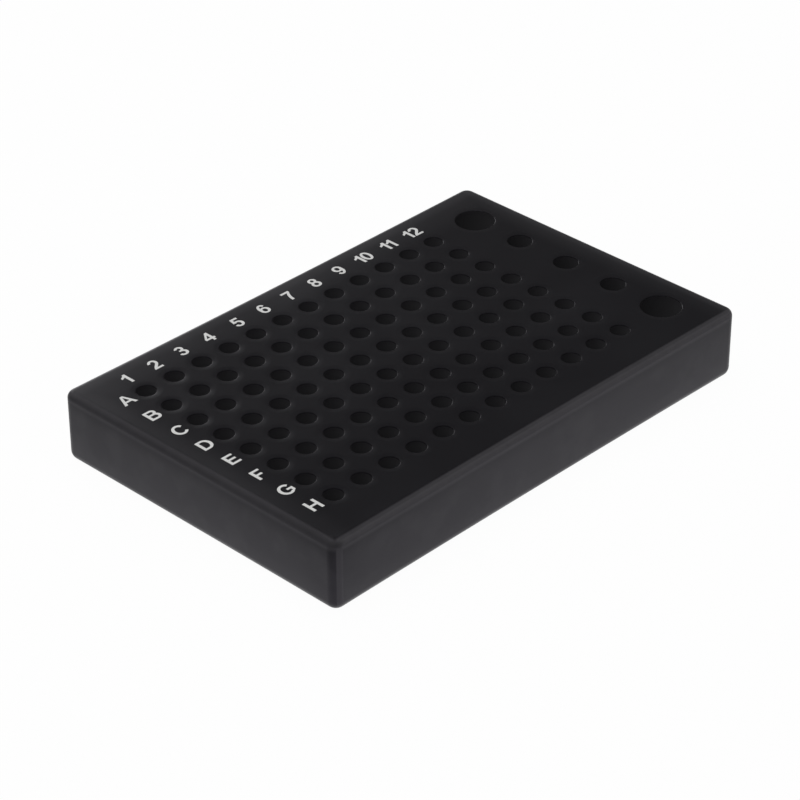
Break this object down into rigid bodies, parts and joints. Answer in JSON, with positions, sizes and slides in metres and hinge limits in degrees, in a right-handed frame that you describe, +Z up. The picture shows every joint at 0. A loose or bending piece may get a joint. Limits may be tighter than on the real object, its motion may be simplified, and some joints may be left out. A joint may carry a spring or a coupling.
{
  "type": "microcentrifuge tube rack",
  "caption": "Rectangular moulded block with a grid of small tapered wells for PCR tubes and a column of larger tube wells at one end.",
  "frame": {"origin": "middle of the flat base", "axes": "+X along the block from column 1 to column 12, +Y from row H to row A, +Z up out of the wells"},
  "size_m": [0.1408, 0.0918, 0.0193],
  "materials": {
    "body": "matte black moulded plastic, lightly satin",
    "marking": "white printed row letters and column numbers"
  },
  "bodies": {
    "root": {"rack_body": "body"}
  },
  "joints": []
}
